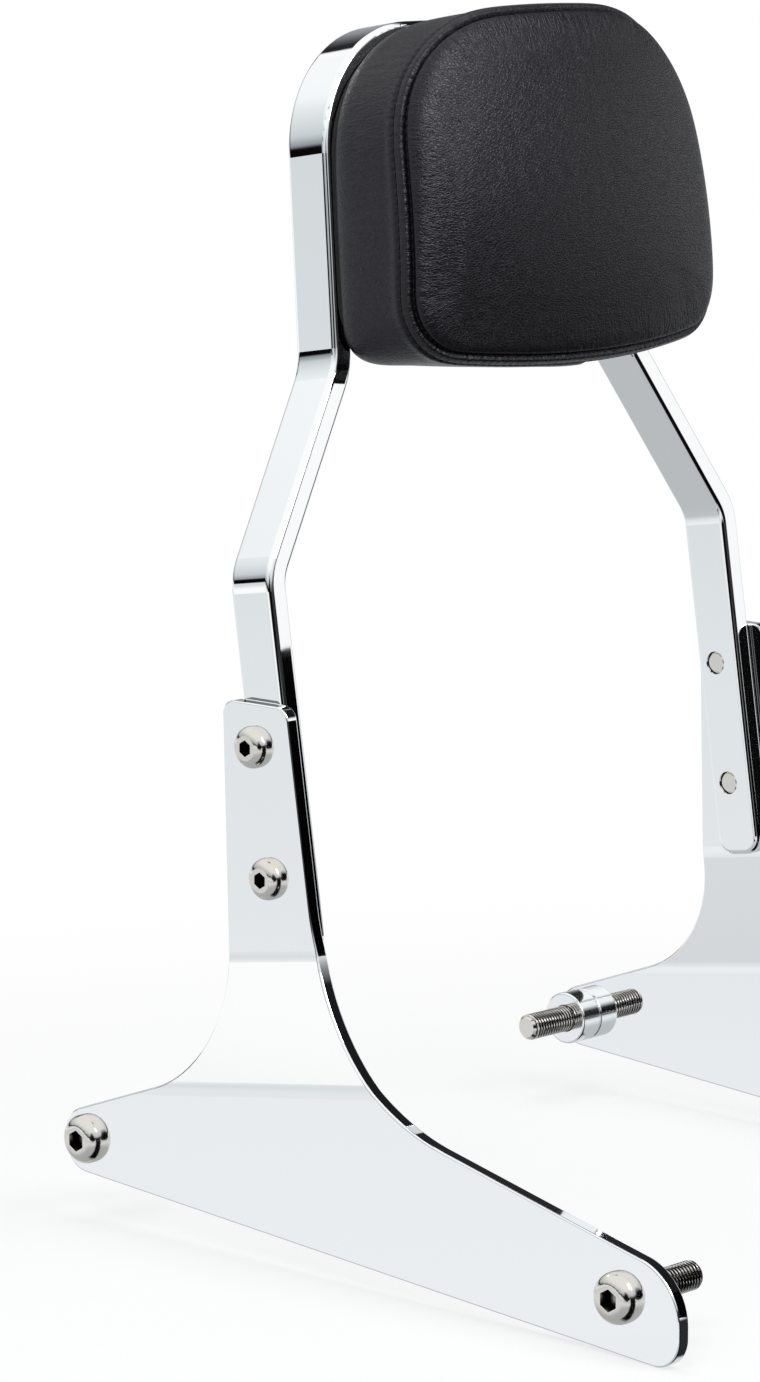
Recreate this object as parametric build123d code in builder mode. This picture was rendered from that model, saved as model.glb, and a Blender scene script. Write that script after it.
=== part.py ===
"""Sissy bar: a passenger backrest on a bent bar hoop with two bolt-on side plates.

X runs from side to side, -Y points forwards and +Z up, all in millimetres.
The origin is on the mid plane, on the common axis of the two front foot screws.
"""

import os
from math import cos, hypot, radians, sin, tan

from build123d import *

# Hoop: one rectangular bar bent in one plane, which leans back
lean = 8.6
bar_wide = 23.0
bar_thick = 10.5
hoop_back = 200.4
hoop_rise = 260.0
lower_half_span = 148.5
upper_half_span = 96.0
jog_height = 81.0
upright_taper = 5.3
hoop_top = 220.0
corner_radius = 58.0
jog_radius = 26.0
bar_drop = 156.0
bar_edge = 2.4
bar_end_round = 8.0

# Side plates: bent from one flat blank, bolted to the outside of the uprights
plate_thick = 6.0
joggle = 7.0
upper_bend = -156.0
lower_bend = -210.0
bend_radius = 40.0
plate_edge = 0.8
plate_long = 339.5
nose = -30.0
nose_top = 12.5
nose_bottom = -25.0
finger_end = nose + plate_long
finger_top = 20.4
finger_bottom = -3.0
tab_top = hoop_rise - 53.0
tab_front = hoop_back - 15.5
tab_back = hoop_back + 20.6
tab_root_front = hoop_back - 38.5
tab_root_back = hoop_back + 16.6
foot_root_front = 56.8
foot_root_back = 54.0
tab_corner = 6.0
front_sweep = 105.0
back_sweep = 57.0
nose_round = 25.0
heel_round = 12.0
finger_round = 13.0

# Upright screws: M10 button heads into tapped holes in the bar
upright_screw_d = 10.0
upright_head_d = 17.5
upright_head_h = 5.4
upright_ring_d = 10.3
upright_socket = 6.0
upright_socket_deep = 3.2
upright_screw_long = 16.0
upright_screw_drop = 69.6
upright_screw_pitch = 54.0
upright_screw_setback = 13.0

# Foot screws: M12 button heads with a spacer inside the foot
rail_screw_d = 12.0
rail_head_d = 21.0
rail_head_h = 6.7
rail_ring_d = 12.5
rail_socket = 8.0
rail_socket_deep = 4.0
rail_screw_long = 45.0
rear_screw_back = finger_end - 13.5
rear_screw_rise = 11.2
spacer_d = 24.0
spacer_long = 12.0
spacer_edge = 1.0

# Cross straps: flat bars that carry the pad between the uprights
strap_thick = 4.0
strap_tall = 28.0
strap_low = 104.0
strap_high = 152.0

# Pad: board, foam and a sewn cover of front panel, side band and back sheet
pad_half_width = 98.5
pad_bottom = 71.0
pad_sag = 8.5
pad_top = 220.5
pad_top_half = 84.5
pad_crest = 4.5
pad_side_bulge = 1.8
pad_low_corner = 28.0
pad_high_corner = 62.0
pad_depth = 63.0
pad_front_round = 15.0
pad_back_round = 7.0
crown_radius = 500.0
seam_inset = 2.0
cover_thick = 1.2
cover_turn = 16.0
back_thick = 1.0
board_thick = 10.0

# Pad fasteners: M6 screws from behind into tee nuts in the board
pad_screw_d = 6.0
pad_screw_long = 16.0
pad_head_d = 10.5
pad_head_h = 3.3
pad_ring_d = 6.2
pad_socket = 4.0
pad_socket_deep = 1.9
pad_screw_half_span = 45.0
washer_d = 12.0
washer_thick = 1.6
tee_flange_d = 19.0
tee_flange_thick = 1.5
tee_barrel_d = 7.8
tee_barrel_long = 8.0

# Fits
thread_relief = 0.2
thread_gap = 0.1
bolt_gap = 0.4
foam_gap = 0.2
board_gap = 0.3
seam_gap = 0.2

# The hoop's own plane: X across, Y up along the uprights, Z out of the pad's front
hoop_plane = Plane(
    origin=(0, hoop_back, hoop_rise),
    x_dir=(1, 0, 0),
    z_dir=(0, -cos(radians(lean)), sin(radians(lean))),
)


def on_hoop(across, along, forward):
    """Point in the part's frame for a place on the hoop plane."""
    return hoop_plane.from_local_coords(Vector(across, along, forward))


def upright_x(along):
    """Outer face of the tapered upper upright at a height along the hoop."""
    return upper_half_span - (along - jog_height) * tan(radians(upright_taper))


def button_screw(shank_d, grip, long, head_d, head_h, ring_d, socket, socket_deep):
    """Button head screw on +Z: bearing face at Z = 0, plain shank along the grip, then thread."""
    rim = head_h * 0.15
    tip = shank_d * 0.08
    thread_d = shank_d - 2 * thread_relief
    with BuildPart() as screw:
        with BuildSketch(Plane.XZ):
            with BuildLine():
                Polyline(
                    (0, head_h),
                    (0, -long),
                    (thread_d / 2 - tip, -long),
                    (thread_d / 2, tip - long),
                    (thread_d / 2, -grip),
                    (shank_d / 2, -grip),
                    (shank_d / 2, 0),
                    (head_d / 2, 0),
                    (head_d / 2, rim),
                )
                TangentArc((head_d / 2, rim), (ring_d / 2, head_h), tangent=(0, 1))
                Line((ring_d / 2, head_h), (0, head_h))
            make_face()
        revolve(axis=Axis.Z)
        with BuildSketch(Plane.XY.offset(head_h)):
            RegularPolygon(socket / 2, 6, major_radius=False)
        extrude(amount=-socket_deep, mode=Mode.SUBTRACT)
    return screw.part


# Stations of the two screws through each upright, on the side view
upright_spots = []
for step in (0, 1):
    along = -upright_screw_drop - step * upright_screw_pitch
    spot = on_hoop(0, along, -upright_screw_setback)
    upright_spots.append((spot.Y, spot.Z))

# Upright hoop: rectangular steel bar, bent flat, its ends drilled and tapped for the side plates
with BuildPart() as upright_hoop:
    with BuildSketch(hoop_plane):
        with BuildLine() as path:
            Polyline(
                (-lower_half_span, -bar_drop),
                (-lower_half_span, 0),
                (-upper_half_span, jog_height),
                (-upright_x(hoop_top), hoop_top),
                (upright_x(hoop_top), hoop_top),
                (upper_half_span, jog_height),
                (lower_half_span, 0),
                (lower_half_span, -bar_drop),
            )
            rows = path.vertices().group_by(Axis.Y)
            fillet(rows[1] + rows[2], jog_radius)
            fillet(path.vertices().group_by(Axis.Y)[-1], corner_radius)
            offset(amount=bar_thick, side=Side.RIGHT)
        make_face()
    extrude(amount=-bar_wide)
    ends = upright_hoop.edges().filter_by(Axis.X).group_by(Axis.Z)
    fillet(ends[0] + ends[1], bar_end_round)
    broad = upright_hoop.faces().filter_by(lambda f: abs(f.normal_at().dot(hoop_plane.z_dir)) > 0.999)
    fillet(broad.edges(), bar_edge)
    with BuildSketch(Plane.YZ):
        with Locations(*upright_spots):
            Circle(upright_screw_d / 2 + thread_gap)
    extrude(amount=2 * lower_half_span, both=True, mode=Mode.SUBTRACT)
upright_hoop.part.label = "upright_hoop"


def cross_strap(middle):
    """Strap between the inner faces of the tapered uprights, with its two screw holes."""
    low = middle - strap_tall / 2
    high = middle + strap_tall / 2
    wall = bar_thick / cos(radians(upright_taper))
    with BuildPart() as strap:
        with BuildSketch(hoop_plane):
            with BuildLine():
                Polyline(
                    (wall - upright_x(low), low),
                    (upright_x(low) - wall, low),
                    (upright_x(high) - wall, high),
                    (wall - upright_x(high), high),
                    close=True,
                )
            make_face()
            with Locations((-pad_screw_half_span, middle), (pad_screw_half_span, middle)):
                Circle(pad_screw_d / 2 + bolt_gap, mode=Mode.SUBTRACT)
        extrude(amount=-strap_thick)
    return strap.part


# Cross straps: flat bars welded between the uprights, flush with the hoop's front
with BuildPart() as lower_cross_strap:
    add(cross_strap(strap_low))
lower_cross_strap.part.label = "lower_cross_strap"

with BuildPart() as upper_cross_strap:
    add(cross_strap(strap_high))
upper_cross_strap.part.label = "upper_cross_strap"

# Side plates: flat blank cut to outline, then joggled outwards below the uprights
blank = [
    ((tab_front, tab_top), tab_corner),
    ((tab_back, tab_top), tab_corner),
    ((tab_root_back, foot_root_back), back_sweep),
    ((finger_end, finger_top), finger_round),
    ((finger_end, finger_bottom), finger_round),
    ((nose, nose_bottom), heel_round),
    ((nose, nose_top), nose_round),
    ((tab_root_front, foot_root_front), front_sweep),
]
rail_spots = [(0, 0), (rear_screw_back, rear_screw_rise)]
reach = finger_end - nose

with BuildPart() as right_side_plate:
    with BuildSketch(hoop_plane):
        with BuildLine():
            FilletPolyline(
                (-lower_half_span, 0),
                (-lower_half_span, upper_bend),
                (-lower_half_span - joggle, lower_bend),
                (-lower_half_span - joggle, -reach),
                radius=bend_radius,
            )
            offset(amount=plate_thick, side=Side.RIGHT)
        make_face()
    extrude(amount=reach, both=True)
    with BuildSketch(Plane.YZ) as outline:
        with BuildLine():
            Polyline(*[corner for corner, radius in blank], close=True)
        make_face()
        for corner, radius in blank:
            fillet(outline.vertices().sort_by_distance(corner)[0], radius)
    extrude(amount=-2 * lower_half_span, mode=Mode.INTERSECT)
    rims = right_side_plate.edges()
    fillet(rims.filter_by(lambda e: abs(e.tangent_at(0.5).X) < 0.9), plate_edge)
    with BuildSketch(Plane.YZ):
        with Locations(*upright_spots):
            Circle(upright_screw_d / 2 + bolt_gap)
        with Locations(*rail_spots):
            Circle(rail_screw_d / 2 + bolt_gap)
    extrude(amount=-2 * lower_half_span, mode=Mode.SUBTRACT)
right_side_plate.part.label = "right_side_plate"

with BuildPart() as left_side_plate:
    mirror(right_side_plate.part, about=Plane.YZ)
left_side_plate.part.label = "left_side_plate"

# Screw and spacer stations: the same four on both sides, heads outwards
tab_face = lower_half_span + plate_thick
foot_face = tab_face + joggle
upright_planes = []
rail_planes = []
spacer_planes = []
for side in (-1, 1):
    for y, z in upright_spots:
        upright_planes.append(Plane((side * tab_face, y, z), x_dir=(0, 0, 1), z_dir=(side, 0, 0)))
    for y, z in rail_spots:
        inner = side * (foot_face - plate_thick)
        rail_planes.append(Plane((side * foot_face, y, z), x_dir=(0, 0, 1), z_dir=(side, 0, 0)))
        spacer_planes.append(Plane((inner, y, z), x_dir=(0, 0, 1), z_dir=(-side, 0, 0)))

# Upright screws: through the plate's tab into the bar
upright_screw = button_screw(
    upright_screw_d,
    plate_thick,
    upright_screw_long,
    upright_head_d,
    upright_head_h,
    upright_ring_d,
    upright_socket,
    upright_socket_deep,
)
with BuildPart() as upright_screws:
    with Locations(*upright_planes):
        add(upright_screw)
upright_screws.part.label = "upright_screws"

# Foot screws: through foot and spacer, their threads free for what carries the part
rail_screw = button_screw(
    rail_screw_d,
    plate_thick + spacer_long,
    rail_screw_long,
    rail_head_d,
    rail_head_h,
    rail_ring_d,
    rail_socket,
    rail_socket_deep,
)
with BuildPart() as rail_screws:
    with Locations(*rail_planes):
        add(rail_screw)
rail_screws.part.label = "rail_screws"

# Foot spacers: turned collars that hold the foot off what carries the part
with BuildPart() as rail_spacers:
    with Locations(*spacer_planes):
        Cylinder(spacer_d / 2, spacer_long, align=(Align.CENTER, Align.CENTER, Align.MIN))
    fillet(rail_spacers.edges().filter_by(GeomType.CIRCLE), spacer_edge)
    with Locations(*spacer_planes):
        Cylinder(
            rail_screw_d / 2 + bolt_gap,
            spacer_long,
            align=(Align.CENTER, Align.CENTER, Align.MIN),
            mode=Mode.SUBTRACT,
        )
rail_spacers.part.label = "rail_spacers"

# Pad stations: layers stand on the hoop plane, from the back sheet to the crowned front
pad_middle = (pad_bottom + pad_top) / 2
board_back = back_thick + cover_thick
board_front = board_back + board_thick
board_inset = pad_back_round + board_gap
pad_spots = []
for along in (strap_low, strap_high):
    pad_spots += [(-pad_screw_half_span, along), (pad_screw_half_span, along)]
crown = Plane(
    origin=on_hoop(0, pad_middle, pad_depth - crown_radius),
    x_dir=-hoop_plane.z_dir,
    z_dir=(1, 0, 0),
)
forward = Axis(hoop_plane.origin, hoop_plane.z_dir)

# Pad outline: shallow arcs through the corners, each with its radius and centre
pad_low = pad_bottom + pad_sag
pad_high = pad_top - pad_crest
side_long = hypot(pad_half_width - pad_top_half, pad_high - pad_low)
bottom_radius = (pad_half_width**2 + pad_sag**2) / (2 * pad_sag)
top_radius = (pad_top_half**2 + pad_crest**2) / (2 * pad_crest)
side_radius = (side_long**2 / 4 + pad_side_bulge**2) / (2 * pad_side_bulge)
side_reach = (side_radius - pad_side_bulge) / side_long
side_x = (pad_half_width + pad_top_half) / 2 - side_reach * (pad_high - pad_low)
side_y = (pad_low + pad_high) / 2 - side_reach * (pad_half_width - pad_top_half)


def pad_outline(inset):
    """Outline of the pad on the hoop plane, drawn in by an inset: four discs with rounded corners."""
    with BuildSketch() as outline:
        with Locations((0, pad_bottom + bottom_radius)):
            Circle(bottom_radius - inset)
        with Locations((0, pad_top - top_radius)):
            Circle(top_radius - inset, mode=Mode.INTERSECT)
        for swing, turn in ((1, 180), (-1, 0)):
            with Locations(Location((swing * side_x, side_y, 0), (0, 0, turn))):
                Circle(side_radius - inset, mode=Mode.INTERSECT)
        fillet(outline.vertices().group_by(Axis.Y)[0], pad_low_corner - inset)
        fillet(outline.vertices().group_by(Axis.Y)[-1], pad_high_corner - inset)
    return outline.sketch


def pad_body(inset):
    """The pad's rounded, crowned form, drawn in by an inset all over."""
    with BuildPart() as body:
        with BuildSketch(hoop_plane.offset(back_thick + inset)):
            add(pad_outline(inset))
        extrude(amount=pad_depth)
        with Locations(crown):
            Sphere(crown_radius - inset, mode=Mode.INTERSECT)
        fillet(body.faces().sort_by(forward)[-1].edges(), pad_front_round - inset)
        fillet(body.faces().sort_by(forward)[0].edges(), pad_back_round - inset)
    return body.part


# Pad back sheet: thin sheet that hides the cover's turned-in edge
with BuildPart() as pad_back_sheet:
    with BuildSketch(hoop_plane):
        add(pad_outline(board_inset))
        with Locations(*pad_spots):
            Circle(pad_screw_d / 2 + bolt_gap, mode=Mode.SUBTRACT)
    extrude(amount=back_thick)
pad_back_sheet.part.label = "pad_back_sheet"

# Pad board: stiff backing, bored and recessed for the tee nuts
with BuildPart() as pad_board:
    with BuildSketch(hoop_plane.offset(board_back)):
        add(pad_outline(board_inset))
        with Locations(*pad_spots):
            Circle(tee_barrel_d / 2 + thread_gap, mode=Mode.SUBTRACT)
    extrude(amount=board_thick)
    with BuildSketch(hoop_plane.offset(board_front)):
        with Locations(*pad_spots):
            Circle(tee_flange_d / 2 + bolt_gap)
    extrude(amount=-tee_flange_thick, mode=Mode.SUBTRACT)
pad_board.part.label = "pad_board"

# Pad foam: moulded block on the board's front
with BuildPart() as pad_foam:
    add(pad_body(cover_thick + foam_gap))
    split(bisect_by=hoop_plane.offset(board_front), keep=Keep.TOP)
pad_foam.part.label = "pad_foam"

# Side band: the cover's edge strip, which wraps the foam and turns in behind the board
cover_form = pad_body(0)
cover_inside = pad_body(cover_thick)
with BuildPart() as pad_side_band:
    add(cover_form)
    add(cover_inside, mode=Mode.SUBTRACT)
    with BuildSketch(hoop_plane.offset(board_front)):
        add(pad_outline(seam_inset))
    extrude(amount=pad_depth, mode=Mode.SUBTRACT)
    with BuildSketch(hoop_plane):
        add(pad_outline(cover_turn))
    extrude(amount=board_back, mode=Mode.SUBTRACT)
pad_side_band.part.label = "pad_side_band"

# Front panel: crowned, sewn to the band just inside the rounded edge
with BuildPart() as pad_front_panel:
    add(cover_form)
    add(cover_inside, mode=Mode.SUBTRACT)
    with BuildSketch(hoop_plane.offset(board_front)):
        add(pad_outline(seam_inset + seam_gap))
    extrude(amount=pad_depth, mode=Mode.INTERSECT)
pad_front_panel.part.label = "pad_front_panel"

# Pad fastener stations: screws and washers behind the straps, tee nuts from the board's front
behind = strap_thick + washer_thick
screw_planes = []
washer_planes = []
nut_planes = []
for x, along in pad_spots:
    screw_planes.append(Plane(on_hoop(x, along, -behind), x_dir=(1, 0, 0), z_dir=-hoop_plane.z_dir))
    washer_planes.append(Plane(on_hoop(x, along, -behind), x_dir=(1, 0, 0), z_dir=hoop_plane.z_dir))
    nut_planes.append(Plane(on_hoop(x, along, board_front), x_dir=(1, 0, 0), z_dir=-hoop_plane.z_dir))

# Pad screws: button heads behind the straps
pad_screw = button_screw(
    pad_screw_d,
    washer_thick + strap_thick,
    pad_screw_long,
    pad_head_d,
    pad_head_h,
    pad_ring_d,
    pad_socket,
    pad_socket_deep,
)
with BuildPart() as pad_screws:
    with Locations(*screw_planes):
        add(pad_screw)
pad_screws.part.label = "pad_screws"

# Pad washers: plain, between screw heads and straps
with BuildPart() as pad_washers:
    for plane in washer_planes:
        with BuildSketch(plane):
            Circle(washer_d / 2)
            Circle(pad_screw_d / 2 + bolt_gap, mode=Mode.SUBTRACT)
    extrude(amount=washer_thick)
pad_washers.part.label = "pad_washers"

# Tee nuts: flanged barrels pressed into the board
with BuildPart() as pad_tee_nuts:
    for plane in nut_planes:
        with BuildSketch(plane):
            Circle(tee_flange_d / 2)
        extrude(amount=tee_flange_thick)
        with BuildSketch(plane):
            Circle(tee_barrel_d / 2)
        extrude(amount=tee_flange_thick + tee_barrel_long)
        with BuildSketch(plane):
            Circle(pad_screw_d / 2 + thread_gap)
        extrude(amount=tee_flange_thick + tee_barrel_long, mode=Mode.SUBTRACT)
pad_tee_nuts.part.label = "pad_tee_nuts"

os.makedirs("parts", exist_ok=True)
export_step(upright_hoop.part, "parts/upright_hoop.step")
export_step(lower_cross_strap.part, "parts/lower_cross_strap.step")
export_step(upper_cross_strap.part, "parts/upper_cross_strap.step")
export_step(right_side_plate.part, "parts/right_side_plate.step")
export_step(left_side_plate.part, "parts/left_side_plate.step")
export_step(upright_screws.part, "parts/upright_screws.step")
export_step(rail_screws.part, "parts/rail_screws.step")
export_step(rail_spacers.part, "parts/rail_spacers.step")
export_step(pad_back_sheet.part, "parts/pad_back_sheet.step")
export_step(pad_board.part, "parts/pad_board.step")
export_step(pad_foam.part, "parts/pad_foam.step")
export_step(pad_side_band.part, "parts/pad_side_band.step")
export_step(pad_front_panel.part, "parts/pad_front_panel.step")
export_step(pad_tee_nuts.part, "parts/pad_tee_nuts.step")
export_step(pad_washers.part, "parts/pad_washers.step")
export_step(pad_screws.part, "parts/pad_screws.step")
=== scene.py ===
"""Sissy bar: chrome hoop, bolt-on side plates and a sewn vinyl pad, dressed over its CAD frame.

X runs from side to side, -Y points forwards and +Z up, in metres. Sizes written in millimetres are
turned to metres with MM where they are used.
"""

import math

import bpy
from mathutils import Matrix, Vector


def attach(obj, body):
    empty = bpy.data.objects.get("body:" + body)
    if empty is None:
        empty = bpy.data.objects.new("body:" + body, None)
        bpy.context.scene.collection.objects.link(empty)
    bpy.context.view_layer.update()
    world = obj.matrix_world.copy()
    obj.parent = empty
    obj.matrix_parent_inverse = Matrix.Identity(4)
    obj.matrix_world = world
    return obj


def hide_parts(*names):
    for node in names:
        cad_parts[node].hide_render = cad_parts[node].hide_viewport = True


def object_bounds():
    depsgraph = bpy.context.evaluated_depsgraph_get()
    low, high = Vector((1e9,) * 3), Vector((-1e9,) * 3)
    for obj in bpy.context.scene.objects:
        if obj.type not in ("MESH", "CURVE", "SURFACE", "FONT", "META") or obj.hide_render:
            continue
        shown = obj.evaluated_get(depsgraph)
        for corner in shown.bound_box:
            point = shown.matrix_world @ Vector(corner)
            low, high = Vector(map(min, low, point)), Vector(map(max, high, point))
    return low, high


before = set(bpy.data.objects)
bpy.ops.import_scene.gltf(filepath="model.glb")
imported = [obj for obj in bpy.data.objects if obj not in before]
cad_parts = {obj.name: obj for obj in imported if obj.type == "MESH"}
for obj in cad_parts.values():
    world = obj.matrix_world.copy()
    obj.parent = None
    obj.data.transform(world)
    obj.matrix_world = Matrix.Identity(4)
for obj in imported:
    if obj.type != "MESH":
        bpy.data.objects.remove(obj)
cad_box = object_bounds()

# Upright hoop: one rectangular steel bar bent to a tall arch, ground, polished and chrome plated.
# It carries everything else. The CAD shape is exact, so it stays and gets its plated finish.
MM = 0.001


def linear(code):
    """Linear RGBA for an sRGB hex colour."""
    values = [int(code[i : i + 2], 16) / 255 for i in (1, 3, 5)]
    return [v / 12.92 if v <= 0.04045 else ((v + 0.055) / 1.055) ** 2.4 for v in values] + [1.0]


def add_node(tree, kind, inputs=None, links=None, **settings):
    """One shader node with its own settings, socket values and incoming links."""
    made = tree.nodes.new(kind)
    for name, value in settings.items():
        setattr(made, name, value)
    for socket, value in (inputs or {}).items():
        made.inputs[socket].default_value = value
    for socket, source in (links or {}).items():
        tree.links.new(source, made.inputs[socket])
    return made


def new_finish(name, **sockets):
    """A material with its shader's constant sockets set: the material, its tree and the shader."""
    material = bpy.data.materials.new(name)
    material.use_nodes = True
    shader = material.node_tree.nodes["Principled BSDF"]
    for socket, value in sockets.items():
        shader.inputs[socket.replace("_", " ")].default_value = value
    return material, material.node_tree, shader


def dress(material, *names):
    """Gives the CAD nodes of these names a finish."""
    for name in names:
        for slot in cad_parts[name].material_slots:
            slot.material = material


# Bright chrome over polished steel: a blue-white mirror. Buffing leaves faint waves about 14 mm
# long and a haze of handling marks, which keep the reflections from being perfectly straight.
CHROME = "#FBFCFC"
BUFF_WAVE = 14.0
SMEAR = 30.0
chrome, tree, shader = new_finish("polished_chrome", Base_Color=linear(CHROME), Metallic=1.0)
place = add_node(tree, "ShaderNodeTexCoord").outputs["Object"]
smear = add_node(
    tree,
    "ShaderNodeTexNoise",
    {"Scale": 1 / (SMEAR * MM), "Detail": 5.0, "Roughness": 0.65},
    {"Vector": place},
)
haze = add_node(
    tree,
    "ShaderNodeMapRange",
    {"From Min": 0.35, "From Max": 0.8, "To Min": 0.02, "To Max": 0.05},
    {"Value": smear.outputs["Fac"]},
)
tree.links.new(haze.outputs["Result"], shader.inputs["Roughness"])
wave = add_node(
    tree,
    "ShaderNodeTexNoise",
    {"Scale": 1 / (BUFF_WAVE * MM), "Detail": 1.0},
    {"Vector": place},
)
buffed = add_node(
    tree,
    "ShaderNodeBump",
    {"Strength": 0.06, "Distance": 0.1 * MM},
    {"Height": wave.outputs["Fac"]},
)
tree.links.new(buffed.outputs["Normal"], shader.inputs["Normal"])
dress(chrome, "upright_hoop")

# Cross straps: two flat steel bars between the uprights, which carry the pad.
# Each end is welded behind, and the rippled bead is plated with the rest of the hoop.
LEAN = 8.6
HOOP_BACK = 200.4
HOOP_RISE = 260.0
BAR_THICK = 10.5
UPPER_HALF_SPAN = 96.0
JOG_HEIGHT = 81.0
UPRIGHT_TAPER = 5.3
STRAP_THICK = 4.0
STRAP_TALL = 28.0
STRAP_MIDDLES = (104.0, 152.0)
BEAD_LEG = 3.6
BEAD_STEP = 2.2
BEAD_SQUASH = 0.62
BEAD_VOXEL = 0.45
dress(chrome, "lower_cross_strap", "upper_cross_strap")

# The hoop's own plane: x across, y up along the uprights, z out of the pad's front, in millimetres
tilt = math.radians(LEAN)
on_hoop = Matrix(
    (
        (MM, 0, 0, 0),
        (0, math.sin(tilt) * MM, -math.cos(tilt) * MM, HOOP_BACK * MM),
        (0, math.cos(tilt) * MM, math.sin(tilt) * MM, HOOP_RISE * MM),
        (0, 0, 0, 1),
    )
)


def only(piece):
    """Selects this piece alone and makes it the active one."""
    bpy.ops.object.select_all(action="DESELECT")
    piece.select_set(True)
    bpy.context.view_layer.objects.active = piece


def join(pieces):
    """Joins pieces into the first of them."""
    only(pieces[0])
    for piece in pieces[1:]:
        piece.select_set(True)
    bpy.ops.object.join()
    return pieces[0]


def settle(piece, name, material):
    """Names a finished piece, gives it its material and slot, and rides it on the part's body."""
    piece.name = name
    piece.data.name = name
    piece.data.materials.clear()
    piece.data.materials.append(material)
    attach(piece, "root")


beads = []
drops = int((STRAP_TALL - BEAD_LEG) / BEAD_STEP)
taper = math.radians(UPRIGHT_TAPER)
for middle in STRAP_MIDDLES:
    for side in (-1, 1):
        bpy.ops.object.select_all(action="DESELECT")
        bpy.ops.mesh.primitive_uv_sphere_add(segments=16, ring_count=10, radius=BEAD_LEG)
        bead = bpy.context.object
        bpy.ops.object.mode_set(mode="EDIT")
        bpy.ops.transform.resize(value=(1.0, BEAD_SQUASH, 1.0))
        bpy.ops.object.mode_set(mode="OBJECT")
        ripple = bead.modifiers.new("ripple", "ARRAY")
        ripple.count = drops
        ripple.use_relative_offset = False
        ripple.use_constant_offset = True
        ripple.constant_offset_displace = (0.0, BEAD_STEP, 0.0)
        fused = bead.modifiers.new("fused", "REMESH")
        fused.mode = "VOXEL"
        fused.voxel_size = BEAD_VOXEL
        fused.use_smooth_shade = True
        for step in ("ripple", "fused"):
            bpy.ops.object.modifier_apply(modifier=step)
        reach = UPPER_HALF_SPAN - (middle - JOG_HEIGHT) * math.tan(taper)
        inner_face = side * (reach - BAR_THICK / math.cos(taper))
        seat = Matrix.Translation((inner_face, middle, -STRAP_THICK))
        lean_in = Matrix.Rotation(side * taper, 4, "Z")
        halfway = Matrix.Translation((0, -BEAD_STEP * (drops - 1) / 2, 0))
        bead.data.transform(on_hoop @ seat @ lean_in @ halfway)
        beads.append(bead)
settle(join(beads), "strap_welds", chrome)

# Side plates: 6 mm steel blanks cut to outline, joggled in a press, polished and chrome plated.
# They bolt outside the uprights, one on each side, and the CAD shape is kept.
dress(chrome, "right_side_plate", "left_side_plate")

# Screws: stainless button heads with hexagon sockets, cold headed and tumbled to a warm shine.
# Two hold each plate to its upright, and four small ones with washers and tee nuts hold the pad.
STAINLESS = "#E2DED8"
TUMBLE = 0.7
# Colour of the painted shade that ambient occlusion lays in the sockets and thread roots
SOCKET_SHADE = "#2B2927"
SOCKET_REACH = 5.0
SHADED_BELOW = 0.62
UNSHADED_ABOVE = 0.86
# Tumbled stainless steel: a warm mirror with fine marks. Painted shade: ambient occlusion darkens
# the base colour
# # in the sockets and the roots of the threads, so they look black.
stainless, tree, shader = new_finish("tumbled_stainless", Metallic=1.0)
occlusion = add_node(
    tree, "ShaderNodeAmbientOcclusion", {"Distance": SOCKET_REACH * MM}, only_local=True
)
unshaded = add_node(
    tree,
    "ShaderNodeMapRange",
    {"From Min": SHADED_BELOW, "From Max": UNSHADED_ABOVE},
    {"Value": occlusion.outputs["AO"]},
)
shaded_in = add_node(
    tree,
    "ShaderNodeMixRGB",
    {1: linear(SOCKET_SHADE), 2: linear(STAINLESS)},
    {0: unshaded.outputs["Result"]},
)
tree.links.new(shaded_in.outputs["Color"], shader.inputs["Base Color"])
place = add_node(tree, "ShaderNodeTexCoord").outputs["Object"]
tumbled = add_node(
    tree,
    "ShaderNodeTexNoise",
    {"Scale": 1 / (TUMBLE * MM), "Detail": 3.0},
    {"Vector": place},
)
shine = add_node(
    tree,
    "ShaderNodeMapRange",
    {"To Min": 0.06, "To Max": 0.16},
    {"Value": tumbled.outputs["Fac"]},
)
tree.links.new(shine.outputs["Result"], shader.inputs["Roughness"])
dimple = add_node(
    tree,
    "ShaderNodeBump",
    {"Strength": 0.12, "Distance": 0.03 * MM},
    {"Height": tumbled.outputs["Fac"]},
)
tree.links.new(dimple.outputs["Normal"], shader.inputs["Normal"])
dress(stainless, "upright_screws", "pad_screws", "pad_washers", "pad_tee_nuts")

# Foot screws: four longer screws of the same make through the feet and spacers.
# Their heads and shanks come from the CAD shape, and the free ends get their rolled M12 thread.
FOOT_FACE = 161.5
SCREW_GRIP = 18.0
SCREW_LONG = 45.0
SCREW_SPOTS = ((0.0, 0.0), (296.0, 11.2))
THREAD_CREST = 6.0
THREAD_ROOT = 5.0
THREAD_PITCH = 1.75
FLANK_STEPS = 8
TURN_STEPS = 36
TIP_POINT = 1.2
TIP_SLOPE = 0.9
TIP_ROWS = 2
FLANK_SLOPE = 2.2
ROOT_FLAT = 0.45
SHANK_CUT = 0.2
THREAD_OVERLAP = 0.1
SHARP_EDGE = 32.0

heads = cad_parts["rail_screws"].copy()
heads.data = heads.data.copy()
heads.parent = None
bpy.context.collection.objects.link(heads)
only(heads)
bpy.ops.object.mode_set(mode="EDIT")
bpy.ops.mesh.customdata_custom_splitnormals_clear()
bpy.ops.mesh.select_all(action="SELECT")
bpy.ops.mesh.remove_doubles(threshold=0.001 * MM)
for side in (-1, 1):
    bpy.ops.mesh.select_all(action="DESELECT")
    bpy.ops.object.mode_set(mode="OBJECT")
    for face in heads.data.polygons:
        face.select = face.center.x * side > 0
    bpy.ops.object.mode_set(mode="EDIT")
    bpy.ops.mesh.select_mode(type="FACE")
    bpy.ops.mesh.bisect(
        plane_co=(side * (FOOT_FACE - SCREW_GRIP + SHANK_CUT) * MM, 0, 0),
        plane_no=(side, 0, 0),
        clear_inner=True,
        use_fill=True,
    )
bpy.ops.object.mode_set(mode="OBJECT")

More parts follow.
